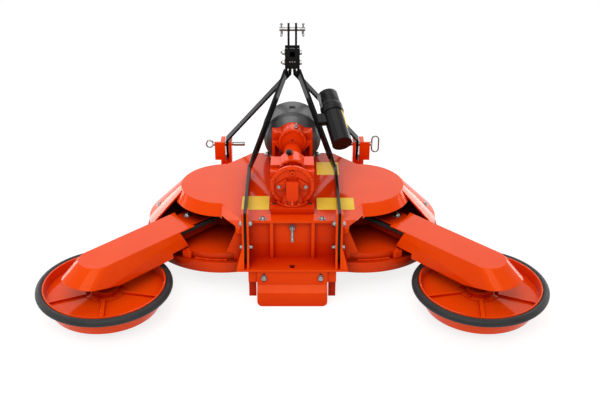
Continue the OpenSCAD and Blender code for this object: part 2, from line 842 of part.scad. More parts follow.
module rear_skid() paint() translate([0, -skid_y, 0]) intersection() {
    translate([-skid_half, 0, 0]) rotate([90, 0, 90]) linear_extrude(2 * skid_half) polygon(concat(
        [for (p = skid_line) [-p[0] - skid_t, p[1]]],
        [for (i = [len(skid_line) - 1 : -1 : 0]) [-skid_line[i][0], skid_line[i][1]]]));
    translate([0, over, 0]) rotate([90, 0, 0]) linear_extrude(plate_rear) {
        translate([-skid_half, skid_corner]) square([2 * skid_half, deck_z]);
        translate([skid_corner - skid_half, 0]) square([2 * (skid_half - skid_corner), deck_z]);
        for (side = [-1, 1])
            translate([side * (skid_half - skid_corner), skid_corner]) circle(r = skid_corner);
    }
}

module skid_legs() paint() {
    for (side = [-1, 1]) {
        translate([side * (leg_x + leg_w / 2), leg_d / 2 - leg_y, (plate_z - plate_t) / 2])
            cube([leg_w, leg_d, plate_z - plate_t], center = true);
        translate([side * (leg_x + leg_w / 2), -(skid_y + leg_y) / 2, plate_z - plate_t - cross_h / 2])
            cube([leg_w, skid_y - leg_y, cross_h], center = true);
    }
    block(-leg_x, leg_x, -skid_y, skid_t - skid_y, plate_z - plate_t - cross_h, plate_z - plate_t);
}

// Rotors

module saucer(r, flat, h, hub, top) rotate_extrude() polygon([
    [0, 0], [flat, 0], [r, h], [r, h + saucer_t], [hub, h + 2 * saucer_t], [hub, top], [0, top]]);

module main_rotor() bright() {
    saucer(saucer_r, saucer_flat, saucer_h, hub_r, blade_z + blade_t);
    translate([0, 0, blade_z + blade_t]) cylinder(r = carrier_r, h = carrier_t);
    for (i = [0 : blade_n - 1]) rotate([0, 0, 360 * i / blade_n])
        block(0, blade_r, -blade_w / 2, blade_w / 2, blade_z, blade_z + blade_t);
    translate([0, 0, blade_z]) cylinder(r = shaft_r, h = pulley_z + pulley_h - blade_z);
    translate([0, 0, pulley_z]) cylinder(r = pulley_r, h = pulley_h);
}

module main_rotor_left() translate([-half_spacing, 0, 0]) main_rotor();
module main_rotor_right() right() main_rotor_left();

module post_left() paint() translate([-half_spacing, 0, deck_z]) difference() {
    union() {
        cylinder(r = post_flange_r, h = post_flange_t);
        cylinder(r = post_r, h = arm_top - deck_z);
    }
    translate([0, 0, -over]) cylinder(r = shaft_r + run_gap, h = arm_top);
}

module post_right() right() post_left();

// Swing arms

module arm_frame() translate([-half_spacing, 0, 0]) rotate([0, 0, 180 + arm_rest]) children();
module disc_frame() arm_frame() translate([arm_l, 0, 0]) children();

module arm_beam_left() paint() arm_frame() difference() {
    union() {
        translate([0, 0, arm_z]) cylinder(r = eye_r, h = arm_top - arm_z);
        block(0, arm_l, -beam_half, beam_half, arm_z, arm_top);
        for (x = cover_post_x)
            block(x - cover_post_half, x + cover_post_half, -cover_post_half, cover_post_half,
                arm_top, cover_z - cover_sheet - sliver);
        block(apron[0], cover_post_x[0] + cover_post_half, apron[1], apron[2], apron_z, apron_z + apron_t);
        translate([arm_l, 0, housing_z]) cylinder(r = housing_r, h = arm_top - housing_z);
        translate([arm_l, 0, neck_z]) cylinder(r = neck_r, h = arm_top - neck_z);
    }
    cylinder(r = post_r + collar_gap, h = cover_z);
    translate([arm_l, 0, 0]) cylinder(r = shaft_r + run_gap, h = cover_z);
}

module arm_beam_right() right() arm_beam_left();

module cover_solid(inset) hull() {
    translate([0, 0, cover_z - inset - sliver]) linear_extrude(sliver) {
        translate([arm_l + cover_end_x, 0]) circle(r = cover_half - inset, $fn = 48);
        translate([hood_top_r, inset - cover_half])
            square([arm_l + cover_end_x - hood_top_r, 2 * (cover_half - inset)]);
    }
    translate([0, 0, cover_foot]) linear_extrude(sliver) {
        translate([arm_l + cover_nose_x, 0]) circle(r = cover_nose_r - inset, $fn = 48);
        translate([hood_top_r, inset - cover_foot_half])
            square([arm_l - hood_top_r, 2 * (cover_foot_half - inset)]);
    }
}

module arm_cover_left() paint() arm_frame() difference() {
    cover_solid(0);
    translate([0, 0, -sliver]) cover_solid(cover_sheet);
    translate(cover_arc) cylinder(r = cover_in_r, h = cover_z + over);
    block(0, cover_over_end, -cover_nose_r, cover_nose_r, 0, cover_over_z);
    translate([0, cover_nose_r + over, 0]) rotate([90, 0, 0])
        linear_extrude(2 * (cover_nose_r + over)) polygon([
        [arm_l - cover_lift_in, 0], [cover_nose_end, 0], [cover_nose_end, cover_foot + cover_lift],
        [arm_l - cover_lift_in, cover_foot]]);
    translate([0, cover_half - 2 * cover_sheet, 0]) rotate([90, 0, 0]) mirror([0, 0, 1])
        linear_extrude(cover_nose_r) polygon([
            [0, 0], [cover_side_in[0], 0], [cover_side_in[0], cover_over_z],
            [cover_side_in[1], cover_z - cover_sheet], [0, cover_z - cover_sheet]]);
}

module arm_cover_right() right() arm_cover_left();

module belt_outline(r1, r2) hull() {
    circle(r = r1);
    translate([arm_l, 0]) circle(r = r2);
}

module arm_belts_left() black() arm_frame() translate([0, 0, arm_top + belt_up])
    linear_extrude(belt_h) difference() {
        belt_outline(pulley_r + belt_gap + belt_t, disc_pulley_r + belt_gap + belt_t);
        belt_outline(pulley_r + belt_gap, disc_pulley_r + belt_gap);
    }

module arm_belts_right() right() arm_belts_left();

// Guard discs

module guard_disc_left() paint() disc_frame() {
    rotate_extrude() polygon([
        [neck_r + collar_gap, collar_foot], [collar_r, collar_foot], [collar_r, floor_z - disc_t],
        [disc_r - 2 * disc_t, floor_z - disc_t], [disc_foot_r - disc_t, disc_foot], [disc_foot_r, disc_foot],
        [disc_r, bumper_z - bumper_r], [disc_r, disc_z], [disc_r - disc_t, disc_z],
        [disc_r - 2 * disc_t, floor_z], [disc_hub_r, floor_z], [disc_hub_r, floor_z + disc_t / 2],
        [collar_r, floor_z + disc_t / 2], [collar_r, collar_z], [neck_r + collar_gap, collar_z]]);
    for (i = [0 : disc_rib_n - 1]) rotate([0, 0, disc_rib_turn + 360 * i / disc_rib_n])
        block(disc_hub_r - disc_t, disc_r - 2 * disc_t, -disc_rib_w / 2, disc_rib_w / 2,
            floor_z - disc_t / 2, floor_z + disc_rib_h);
}

module guard_disc_right() right() guard_disc_left();

module bumper_left() black() disc_frame() translate([0, 0, bumper_z]) difference() {
    rotate_extrude() translate([ring_mid_r, 0]) circle(r = bumper_r);
    translate([0, 0, -bumper_r - over]) cylinder(r = disc_r, h = 2 * (bumper_r + over));
}

module bumper_right() right() bumper_left();

module disc_rotor_left() bright() disc_frame() {
    saucer(disc_saucer_r, disc_saucer_flat, disc_saucer_h, shaft_r + disc_t, disc_carrier_z);
    translate([0, 0, disc_carrier_z - carrier_t]) cylinder(r = disc_carrier_r, h = carrier_t);
    for (i = [0 : blade_n - 1]) rotate([0, 0, 360 * i / blade_n])
        block(0, disc_blade_r, -disc_blade_w / 2, disc_blade_w / 2, disc_carrier_z - carrier_t - blade_t,
            disc_carrier_z - carrier_t);
    translate([0, 0, disc_saucer_h]) cylinder(r = shaft_r, h = pulley_z + pulley_h - disc_saucer_h);
    translate([0, 0, pulley_z]) cylinder(r = disc_pulley_r, h = pulley_h);
}

module disc_rotor_right() right() disc_rotor_left();

// Show

place() deck_pan();
place() hood();
place() rear_frame();
place() tension_bolt();
place() stay_brackets();
place() stay_left();
place() stay_right();
place() mast_block();
place() top_clevis();
place() top_link_pin();
place() a_bar_left();
place() a_bar_right();
place() hitch_beam();
place() hitch_bracket_left();
place() hitch_bracket_right();
place() hitch_pin_left();
place() hitch_pin_right();
place() gearbox_rear();
place() gearbox_front();
place() pto_guard();
place() pto_shaft();
place() document_tube();
place() tube_cap();
place() rear_skid();
place() skid_legs();
place() post_left();
place() post_right();
place() arm_beam_left();
place() arm_beam_right();
place() arm_cover_left();
place() arm_cover_right();
place() arm_belts_left();
place() arm_belts_right();
place() guard_disc_left();
place() guard_disc_right();
place() bumper_left();
place() bumper_right();
place() disc_rotor_left();
place() disc_rotor_right();
place() main_rotor_left();
place() main_rotor_right();
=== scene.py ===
import json
import math

import bmesh
import bpy
from mathutils import Matrix, Vector


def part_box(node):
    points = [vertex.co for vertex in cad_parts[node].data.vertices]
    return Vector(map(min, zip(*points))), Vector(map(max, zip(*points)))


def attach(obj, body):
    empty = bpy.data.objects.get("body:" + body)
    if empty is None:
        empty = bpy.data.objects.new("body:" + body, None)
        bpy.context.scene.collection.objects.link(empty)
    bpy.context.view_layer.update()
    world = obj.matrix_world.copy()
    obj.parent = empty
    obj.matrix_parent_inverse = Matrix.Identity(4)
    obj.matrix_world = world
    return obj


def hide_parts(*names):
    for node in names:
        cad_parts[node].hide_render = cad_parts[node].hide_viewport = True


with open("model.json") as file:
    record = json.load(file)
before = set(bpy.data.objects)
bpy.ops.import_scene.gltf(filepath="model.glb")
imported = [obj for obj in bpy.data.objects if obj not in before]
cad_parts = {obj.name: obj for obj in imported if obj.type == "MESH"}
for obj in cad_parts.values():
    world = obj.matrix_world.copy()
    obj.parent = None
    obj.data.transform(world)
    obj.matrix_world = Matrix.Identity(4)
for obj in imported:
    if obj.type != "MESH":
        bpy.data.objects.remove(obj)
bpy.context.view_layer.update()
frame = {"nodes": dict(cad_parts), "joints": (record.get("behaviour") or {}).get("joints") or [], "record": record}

NODES = frame["nodes"]
JOINT_AT = {joint["name"]: joint["pos_m"] for joint in frame["joints"]}
MOUNT_AT = {mount["name"]: mount["pos_m"] for mount in frame["record"]["mounts"]}

# The machine's own frame: millimetres, with y = 0 on the line through the two rotor axes
MM = 0.001
AXIS_Y = JOINT_AT["arm_swing_left"][1]


def at(x, y, z):
    """A point of the machine's frame, in metres in the row frame."""
    return Vector((x * MM, y * MM + AXIS_Y, z * MM))


def in_machine(x, y, z):
    """A point of the row frame, in the machine's millimetres."""
    return Vector((x / MM, (y - AXIS_Y) / MM, z / MM))


# Places taken from the frame
PIVOT = in_machine(*JOINT_AT["arm_swing_left"])
DISC_HUB = in_machine(*JOINT_AT["guard_spin_left"])
ARM = (DISC_HUB - PIVOT).to_2d()
ARM_L = ARM.length
ARM_TURN = math.atan2(ARM.y, ARM.x)
DRIVE_Z = in_machine(*JOINT_AT["input_spin"]).z
LINK_PIN = in_machine(*MOUNT_AT["lower_link_left"])
TOP_PIN = in_machine(*MOUNT_AT["top_link"])
HOOD_Z = in_machine(*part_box("hood")[1]).z

# Camera: found from the deck circles, the bumper rings and the hitch in the photograph.
# Its shift is a share of the picture's width
CAM_AT = (0, -3810, 2280)
CAM_PITCH = 27.9
CAM_LENS = 57.0
CAM_SHIFT = 7.7 / 600

camera = bpy.data.cameras.new("camera")
camera.lens = CAM_LENS
camera.shift_x = CAM_SHIFT
cam = bpy.data.objects.new("camera", camera)
cam.location = at(*CAM_AT)
cam.rotation_euler = (math.radians(90 - CAM_PITCH), 0, 0)
bpy.context.collection.objects.link(cam)
bpy.context.scene.camera = cam
bpy.context.scene.view_settings.view_transform = "Standard"


# Materials

NOISE_DETAIL = 3.0
RAMP_ENDS = (0.3, 0.7)
# Painted shade in hollows: how far ambient occlusion looks, the part of its range that goes from painted shade to
# the full colour, and its samples
PAINTED_SHADE_REACH = 0.22
PAINTED_SHADE_RANGE = (0.30, 0.85)
PAINTED_SHADE_SAMPLES = 6
BEVEL_SAMPLES = 4
RELIEF_DEPTH = 0.002
# Sockets of the Mix node when it mixes colours
MIX_SHARE, MIX_FIRST, MIX_SECOND, MIX_RESULT = 0, 6, 7, 2


def noise(tree, scale):
    """A noise that keeps to the object, with spots of about 1 / scale metres."""
    coords = tree.nodes.new("ShaderNodeTexCoord")
    node = tree.nodes.new("ShaderNodeTexNoise")
    node.inputs["Scale"].default_value = scale
    node.inputs["Detail"].default_value = NOISE_DETAIL
    tree.links.new(coords.outputs["Object"], node.inputs["Vector"])
    return node.outputs["Fac"]


def ramp(tree, fac, *colours):
    """Two colours, mixed by fac."""
    node = tree.nodes.new("ShaderNodeValToRGB")
    for element, place, colour in zip(node.color_ramp.elements, RAMP_ENDS, colours):
        element.position = place
        element.color = (*colour, 1)
    tree.links.new(fac, node.inputs["Fac"])
    return node.outputs["Color"]


def spread(tree, fac, low, high):
    """Takes fac from 0 to 1 into low to high."""
    node = tree.nodes.new("ShaderNodeMapRange")
    node.inputs["To Min"].default_value = low
    node.inputs["To Max"].default_value = high
    tree.links.new(fac, node.inputs["Value"])
    return node.outputs["Result"]


def with_painted_shade(tree, colour, painted_shade_colour, alone):
    """The colour with painted shade: it turns to the painted_shade_colour where ambient occlusion finds the
    surface shut in. Alone leaves its neighbours out of that.
    """
    shade_occlusion = tree.nodes.new("ShaderNodeAmbientOcclusion")
    shade_occlusion.samples = PAINTED_SHADE_SAMPLES
    shade_occlusion.only_local = alone
    shade_occlusion.inputs["Distance"].default_value = PAINTED_SHADE_REACH
    unshaded_share = tree.nodes.new("ShaderNodeMapRange")
    unshaded_share.inputs["From Min"].default_value = PAINTED_SHADE_RANGE[0]
    unshaded_share.inputs["From Max"].default_value = PAINTED_SHADE_RANGE[1]
    tree.links.new(shade_occlusion.outputs["AO"], unshaded_share.inputs["Value"])
    mix = tree.nodes.new("ShaderNodeMix")
    mix.data_type = "RGBA"
    mix.inputs[MIX_FIRST].default_value = (*painted_shade_colour, 1)
    tree.links.new(unshaded_share.outputs["Result"], mix.inputs[MIX_SHARE])
    tree.links.new(colour, mix.inputs[MIX_SECOND])
    return mix.outputs[MIX_RESULT]


def material(name, low, high, rough, metal=0.0, shine=0.5, patch=6.0, grain=400.0, bump=0.02, edge=0.0015,
             tint=(1, 1, 1), painted_shade_colour=None, alone=False):
    """A surface whose colour and roughness drift in patches, with a fine grain and softened edges, and with
    painted shade in its hollows where painted_shade_colour is given.
    """
    mat = bpy.data.materials.new(name)
    mat.use_nodes = True
    tree = mat.node_tree
    shader = tree.nodes["Principled BSDF"]
    shader.inputs["Metallic"].default_value = metal
    shader.inputs["Specular IOR Level"].default_value = shine
    shader.inputs["Specular Tint"].default_value = (*tint, 1)
    colour = ramp(tree, noise(tree, patch), low, high)
    # Painted shade: the colour darkens in recesses, driven by ambient occlusion
    if painted_shade_colour:
        colour = with_painted_shade(tree, colour, painted_shade_colour, alone)
    tree.links.new(colour, shader.inputs["Base Color"])
    tree.links.new(spread(tree, noise(tree, patch * 4), *rough), shader.inputs["Roughness"])
    soft = tree.nodes.new("ShaderNodeBevel")
    soft.samples = BEVEL_SAMPLES
    soft.inputs["Radius"].default_value = edge
    relief = tree.nodes.new("ShaderNodeBump")
    relief.inputs["Strength"].default_value = bump
    relief.inputs["Distance"].default_value = RELIEF_DEPTH
    tree.links.new(noise(tree, grain), relief.inputs["Height"])
    tree.links.new(soft.outputs["Normal"], relief.inputs["Normal"])
    tree.links.new(relief.outputs["Normal"], shader.inputs["Normal"])
    return mat


# The orange finishes paint shade into their hollows. Their colour turns to the given darker red wherever ambient
# occlusion finds the surface shut in, and the disc's coat looks only at the disc itself.
ORANGE_TINT = (1.0, 0.68, 0.36)
COAT_LOW, COAT_HIGH = (0.84, 0.056, 0.001), (0.88, 0.065, 0.002)
COAT_ROUGH = (0.07, 0.12)
ORANGE = material("orange_powder_coat_painted_shade", COAT_LOW, COAT_HIGH, COAT_ROUGH, shine=0.12, tint=ORANGE_TINT,
                  painted_shade_colour=(0.52, 0.006, 0.0004))
DISC = material("orange_disc_coat_painted_shade", COAT_LOW, COAT_HIGH, COAT_ROUGH, shine=0.12, tint=ORANGE_TINT,
                painted_shade_colour=(0.46, 0.003, 0.0004), alone=True)
# A darker copy of the orange, with much darker painted shade in its hollows: painted shade for the deck pan and
# the arm beams under the hood
ORANGE_PAINTED_SHADE = material("orange_coat_painted_shade_under_hood", (0.80, 0.042, 0.001), (0.84, 0.050, 0.002), COAT_ROUGH, shine=0.2,
                  tint=ORANGE_TINT, painted_shade_colour=(0.16, 0.002, 0.0003))
CAST = material("orange_cast_iron_painted_shade", (0.84, 0.044, 0.001), (0.90, 0.054, 0.003), (0.10, 0.18), shine=0.2,
                grain=38.0, bump=0.5, edge=0.004, tint=ORANGE_TINT, painted_shade_colour=(0.40, 0.004, 0.0003))
BLACK = material("black_powder_coat", (0.002, 0.002, 0.002), (0.004, 0.004, 0.004), (0.18, 0.26), shine=0.12)
PLASTIC = material("black_moulded_plastic", (0.004, 0.004, 0.005), (0.008, 0.008, 0.009), (0.22, 0.30),
                   shine=0.2, grain=700.0, bump=0.05)
GUARD = material("grey_guard_plastic", (0.028, 0.028, 0.029), (0.040, 0.040, 0.041), (0.26, 0.34),
                 grain=600.0, bump=0.06)
RUBBER = material("black_rubber", (0.012, 0.012, 0.012), (0.024, 0.024, 0.025), (0.50, 0.66), shine=0.3,
                  patch=14.0, grain=260.0, bump=0.12)
STEEL = material("zinc_plated_steel", (0.20, 0.20, 0.195), (0.34, 0.34, 0.33), (0.20, 0.32), metal=1.0,
                 patch=30.0, grain=500.0, bump=0.04)
BLADE = material("worn_blade_steel", (0.16, 0.15, 0.14), (0.30, 0.29, 0.28), (0.35, 0.55), metal=1.0,
                 patch=18.0, grain=220.0, bump=0.10)
YELLOW = material("plain_yellow_film", (0.82, 0.52, 0.02), (0.90, 0.58, 0.03), (0.35, 0.45), shine=0.25,
                  patch=20.0, grain=900.0, bump=0.01)
# Near-black film laid where holes and slots are: painted shade for their insides
HOLE_SHADE = material("painted_hole_shade", (0.004, 0.003, 0.003), (0.008, 0.006, 0.006), (0.6, 0.8), patch=20.0,
                grain=300.0)

SLOT_FINISH = {"orange_paint": ORANGE, "black_paint": BLACK, "steel": STEEL, "black_plastic": PLASTIC,
               "rubber": RUBBER}
NODE_FINISH = {part["node"]: SLOT_FINISH[part["material_slot"]] for part in frame["record"]["subparts"]}
# The deck pan and the arm beams take the orange with painted shade from under the hood. The castings and the guard
# discs take painted shade in their hollows.
NODE_FINISH |= {"pto_guard": GUARD, "gearbox_rear": CAST, "gearbox_front": CAST, "deck_pan": ORANGE_PAINTED_SHADE}
for side in ("left", "right"):
    NODE_FINISH |= {f"arm_beam_{side}": ORANGE_PAINTED_SHADE, f"guard_disc_{side}": DISC, f"disc_rotor_{side}": BLADE,
                    f"main_rotor_{side}": BLADE}
for name, obj in NODES.items():
    obj.data.materials.clear()
    obj.data.materials.append(NODE_FINISH[name])


# Mesh helpers

UP, BACK, LEFT, RIGHT = (0, 0, 1), (0, -1, 0), (-1, 0, 0), (1, 0, 0)
# Placings that stand a flat outline up: in x and z for the first two, in y and z for the third
REARWARD = Matrix(((1, 0, 0, 0), (0, 0, -1, 0), (0, 1, 0, 0), (0, 0, 0, 1)))
FORWARD = Matrix(((1, 0, 0, 0), (0, 0, 1, 0), (0, 1, 0, 0), (0, 0, 0, 1)))
SIDEWAYS = Matrix(((0, 0, 1, 0), (1, 0, 0, 0), (0, 1, 0, 0), (0, 0, 0, 1)))
SHARP = 32
WASHER_T = 3.0
DOME_WASHER_T = 2.5


def aim(origin, axis):
    """A placing whose z runs along axis, with its zero at origin, in the machine's millimetres."""
    return Matrix.Translation(origin) @ Vector(axis).to_track_quat("Z", "Y").to_matrix().to_4x4()


def polar(r, turn):
    """The x and y of a point at radius r, turned by so many degrees."""
    return r * math.cos(math.radians(turn)), r * math.sin(math.radians(turn))


def arc(cx, cy, r, start, end, n):
    """Points on a circle, from one angle to another in degrees."""
    spokes = [polar(r, start + (end - start) * k / n) for k in range(n + 1)]
    return [(cx + x, cy + y) for x, y in spokes]


def between(start, end, n):
    """The points that part a straight line in n."""
    return [tuple(a + (b - a) * k / n for a, b in zip(start, end)) for k in range(1, n)]


class Shape:
    """A mesh in the machine's millimetres, gathered from turned, extruded and swept parts."""

    def __init__(self):
        self.verts, self.faces = [], []

    def add(self, verts, faces, place=Matrix()):
        base = len(self.verts)
        self.verts += [place @ Vector(v) for v in verts]
        self.faces += [[base + i for i in face] for face in faces]

    def lathe(self, profile, place=Matrix(), n=32, ring=False):
        """Turns (radius, height) points round z. A ring joins its last point to its first."""
        verts, rows, faces = [], [], []
        for r, z in profile:
            if r == 0:
                rows.append([len(verts)] * n)
                verts.append((0, 0, z))
            else:
                rows.append(range(len(verts), len(verts) + n))
                verts += [(*polar(r, 360 * k / n), z) for k in range(n)]
        for low, high in zip(rows, [*rows[1:], rows[0]] if ring else rows[1:]):
            for k in range(n):
                quad = [low[k], low[(k + 1) % n], high[(k + 1) % n], high[k]]
                face = list(dict.fromkeys(quad))
                if len(face) > 2:
                    faces.append(face)
        self.add(verts, faces, place)

    def loft(self, rows, place=Matrix(), closed=False):
        """Joins rows of as many points each. It is capped at its ends, or closed on itself."""
        n, size = len(rows[0]), len(rows)
        faces = []
        for k in range(size if closed else size - 1):
            a, b = k * n, (k + 1) % size * n
            faces += [[a + j, a + (j + 1) % n, b + (j + 1) % n, b + j] for j in range(n)]
        if not closed:
            faces += [list(range(n))[::-1], list(range((size - 1) * n, size * n))]
        self.add([v for row in rows for v in row], faces, place)

    def prism(self, outline, low, high, place=Matrix()):
        """An outline in x and y, from height low to high."""
        self.loft([[(x, y, z) for x, y in outline] for z in (low, high)], place)

    def block(self, low, high, place=Matrix(), edge=1.5):
        """A box with its upright edges cut."""
        (x0, y0, z0), (x1, y1, z1) = low, high
        e = edge
        self.prism([(x0 + e, y0), (x1 - e, y0), (x1, y0 + e), (x1, y1 - e), (x1 - e, y1), (x0 + e, y1),
                    (x0, y1 - e), (x0, y0 + e)], z0, z1, place)

    def sweep(self, path, radius, n=10, closed=False):
        """A round wire along points. The radius may be a list with one value a point."""
        path = [Vector(p) for p in path]
        size = len(path)
        radii = radius if isinstance(radius, list) else [radius] * size
        rows = []
        side = None
        for k, p in enumerate(path):
            ahead = path[(k + 1) % size] if closed or k + 1 < size else p
            behind = path[k - 1] if closed or k > 0 else p
            along = (ahead - behind).normalized()
            if side is None:
                side = along.orthogonal().normalized()
            side = (side - along * side.dot(along)).normalized()
            up = along.cross(side)
            spokes = [polar(radii[k], 360 * j / n) for j in range(n)]
            rows.append([p + side * u + up * v for u, v in spokes])
        self.loft(rows, closed=closed)

    def hexagon(self, flats, low, high, place):
        r = flats / math.sqrt(3)
        self.lathe([(0, low), (r, low), (r, high - 0.1 * flats), (0.86 * r, high), (0, high)], place, n=6)

    def thread(self, radius, low, high, place, pitch=3.0):
        turns = max(2, round((high - low) / pitch))
        step = (high - low) / turns
        root = radius - 0.3 * pitch
        profile = [(0, low)]
        for k in range(turns):
            profile += [(radius, low + (k + 0.15) * step), (radius, low + (k + 0.5) * step),
                        (root, low + (k + 0.8) * step)]
        self.lathe([*profile, (root, high), (0, high)], place, n=20)

    def bolt(self, origin, axis, flats, head, washer=0.0, stub=0.0):
        """A hexagon head or nut on a washer, with the screw's end past it where stub is given."""
        place = aim(origin, axis)
        seat = WASHER_T if washer else 0.0
        if washer:
            self.lathe([(0, 0), (washer, 0), (washer, 2.2), (washer - 0.8, seat), (0, seat)], place, n=28)
        self.hexagon(flats, seat, seat + head, place)
        if stub:
            self.thread(0.32 * flats, seat + head - 1, seat + head + stub, place)

    def dome(self, origin, axis, radius, height, washer=0.0):
        """A round screw head with a socket, on a washer where one is given."""
        place = aim(origin, axis)
        seat = DOME_WASHER_T if washer else 0.0
        if washer:
            self.lathe([(0, 0), (washer, 0), (washer, 1.8), (washer - 0.7, seat), (0, seat)], place, n=28)
        curve = [(radius * math.cos(t), seat + height * math.sin(t)) for t in (0.0, 0.35, 0.7, 1.0)]
        socket = 0.42 * radius
        floor_z = seat + 0.45 * height
        self.lathe([(0, seat), *curve, (socket, seat + height), (socket, floor_z), (0, floor_z)], place, n=24)

    def mirrored(self):
        twin = Shape()
        twin.verts = [Vector((-v.x, v.y, v.z)) for v in self.verts]
        twin.faces = [face[::-1] for face in self.faces]
        return twin

    def join(self, other):
        self.add(other.verts, other.faces)
        return self

    def both(self):
        return self.join(self.mirrored())

    def piece(self, name, body, surface, slot=None, stands_for=(), sharp=SHARP):
        """Makes the object, smooth but for edges sharper than so many degrees, and says what it rides on."""
        mesh = bpy.data.meshes.new(name)
        mesh.from_pydata([at(*v) for v in self.verts], [], self.faces)
        bm = bmesh.new()
        bm.from_mesh(mesh)
        bmesh.ops.recalc_face_normals(bm, faces=bm.faces)
        bm.to_mesh(mesh)
        bm.free()
        mesh.polygons.foreach_set("use_smooth", [True] * len(mesh.polygons))
        mesh.set_sharp_from_angle(angle=math.radians(sharp))
        mesh.materials.append(surface)
        obj = bpy.data.objects.new(name, mesh)
        bpy.context.collection.objects.link(obj)
        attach(obj, body)
        if stands_for:
            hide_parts(*stands_for)


# Screws on the hood, the stay brackets, the skid and the mast

SKIRT_SCREW, SKIRT_OUT = (-606, -1, 242.5), (-0.705, 0, 0.709)
HOOD_SCREWS = ((-124, -334), (-119, 305))
BRACKET_IN, BRACKET_OUT, BRACKET_SCREW_Y = -180, -210, -375
BRACKET_SCREW_ROWS = (348.5, 238)
SKID_SCREW = (-119, -432, 121)
MAST_HALF = 34
MAST_SCREW_ROWS = (835, 787)

screws = Shape()
screws.dome(SKIRT_SCREW, SKIRT_OUT, radius=10, height=5, washer=15)
for x, y in HOOD_SCREWS:
    screws.dome((x, y, HOOD_Z), UP, radius=11, height=9, washer=16)
for z in BRACKET_SCREW_ROWS:
    screws.bolt((BRACKET_IN, BRACKET_SCREW_Y, z), RIGHT, flats=19, head=9, washer=13, stub=3)
    screws.bolt((BRACKET_OUT, BRACKET_SCREW_Y, z), LEFT, flats=19, head=8, washer=12)
screws.bolt(SKID_SCREW, BACK, flats=21, head=8, washer=12.5)
screws.both()
for z in MAST_SCREW_ROWS:
    screws.bolt((-MAST_HALF, TOP_PIN.y, z), LEFT, flats=19, head=10, washer=14, stub=7)
    screws.bolt((MAST_HALF, TOP_PIN.y, z), RIGHT, flats=19, head=8, washer=13)
screws.piece("frame_screws", "frame", STEEL, "steel")

# Tension screw: a threaded rod through the rear wall, with a nut on each side of the wall

TENSION_PLACE = aim((0, -328, 307), BACK)
TENSION_R, TENSION_START, TENSION_END = 6.5, -19, 117
TENSION_NUT, TENSION_NUT_T = 24, 11
TENSION_WASHER = [(7, 0), (14, 0), (14, 2.2), (13, WASHER_T), (7, WASHER_T)]

tension = Shape()
tension.thread(TENSION_R, TENSION_START, TENSION_END, TENSION_PLACE, pitch=4)
tension.lathe(TENSION_WASHER, TENSION_PLACE, n=28, ring=True)
for low in (WASHER_T, TENSION_START):
    tension.hexagon(TENSION_NUT, low, low + TENSION_NUT_T, TENSION_PLACE)
tension.piece("tension_screw", "frame", STEEL, "steel", ["tension_bolt"])

# Gearbox castings: cover screw ears, shoulders, painted screws, oil plug, bowl and rib on the foot, dome rims

EAR = [(-24, 498), (-40, 487), (-67, 469), (-71, 452), (-63, 440), (-48, 440), (-24, 456)]
SHOULDER = [(-88, 500), (-38, 440), (-38, 458), (-72, 502)]
# How far to the rear the ears and the shoulders start and end
EAR_RUN, SHOULDER_RUN = (243, 251), (-150, -109)
COVER_Y, COVER_SCREW_R, COVER_SCREW_TURNS = -250, 85, (22.5, 67.5, -22.5)
FOOT_Z, BOWL_Y, BOWL_RIM_Z = 378, -205, 386
BOWL_SCREW_R, BOWL_SCREW_TURNS = 73, (-112, -140)
BOWL = [(0, FOOT_Z), (81, FOOT_Z), (82, 380), (82, 384), (80, BOWL_RIM_Z), (65, BOWL_RIM_Z), (62, 389),
        (55, 412), (48, 420), (0, 424)]
RIB = [(-254, 414), (-265, 408), (-288, BOWL_RIM_Z), (-254, BOWL_RIM_Z)]
RIB_HALF = 5
PLUG_AT = (0, -244, 519)
PLUG = [(4, 0), (12, 0), (11, 7), (9, 8), (4, 8)]
DOME_FACES, DOME_Z = (-208, 105), 503
DOME_SCREW_R, DOME_SCREW_TURNS = 54, (35, 62, 118, 145)
DOME_RIM = [(52, 0), (61.5, 0), (62.5, 2), (62.5, 9), (58, 11), (52, 11)]
DOME_RIM_IN = 9

cast = Shape()
cast.prism(EAR, *EAR_RUN, REARWARD)
cast.prism(SHOULDER, *SHOULDER_RUN, REARWARD)
for turn in BOWL_SCREW_TURNS:
    x, y = polar(BOWL_SCREW_R, turn)
    cast.bolt((x, y + BOWL_Y, BOWL_RIM_Z), UP, flats=14, head=7)
for turn in COVER_SCREW_TURNS:
    x, z = polar(COVER_SCREW_R, turn)
    cast.bolt((-x, COVER_Y, DRIVE_Z + z), BACK, flats=13, head=5)
cast.both()
cast.lathe(PLUG, aim(PLUG_AT, BACK), n=24, ring=True)
cast.lathe(BOWL, Matrix.Translation((0, BOWL_Y, 0)), n=64)
cast.prism(RIB, -RIB_HALF, RIB_HALF, SIDEWAYS)
for face_y in DOME_FACES:
    cast.lathe(DOME_RIM, aim((0, face_y + DOME_RIM_IN, DOME_Z), BACK), n=56, ring=True)
    for turn in DOME_SCREW_TURNS:
        x, z = polar(DOME_SCREW_R, turn)
        cast.bolt((x, face_y, DOME_Z + z), BACK, flats=11, head=5)
cast.piece("gearbox_castings", "frame", CAST, "orange_paint")

# Gearbox fittings: bare screws, a grease nipple on the front box and a breather on the rear one

COVER_BOLT, FRONT_BOLT = (-56, COVER_Y - 1, 459), (-56, 150, 437)
NIPPLE_PLACE = Matrix.Translation((18, 132, 0))
NIPPLE = [(0, 568), (5, 568), (5, 573), (3.5, 575), (5.5, 578), (5.5, 581), (3, 584), (0, 584)]
BREATHER_PLACE = Matrix.Translation((-14, -150, 0))
BREATHER = [(0, 556), (7, 556), (7, 564), (13, 566), (14, 569), (14, 577), (12, 581), (7, 583), (0, 583)]

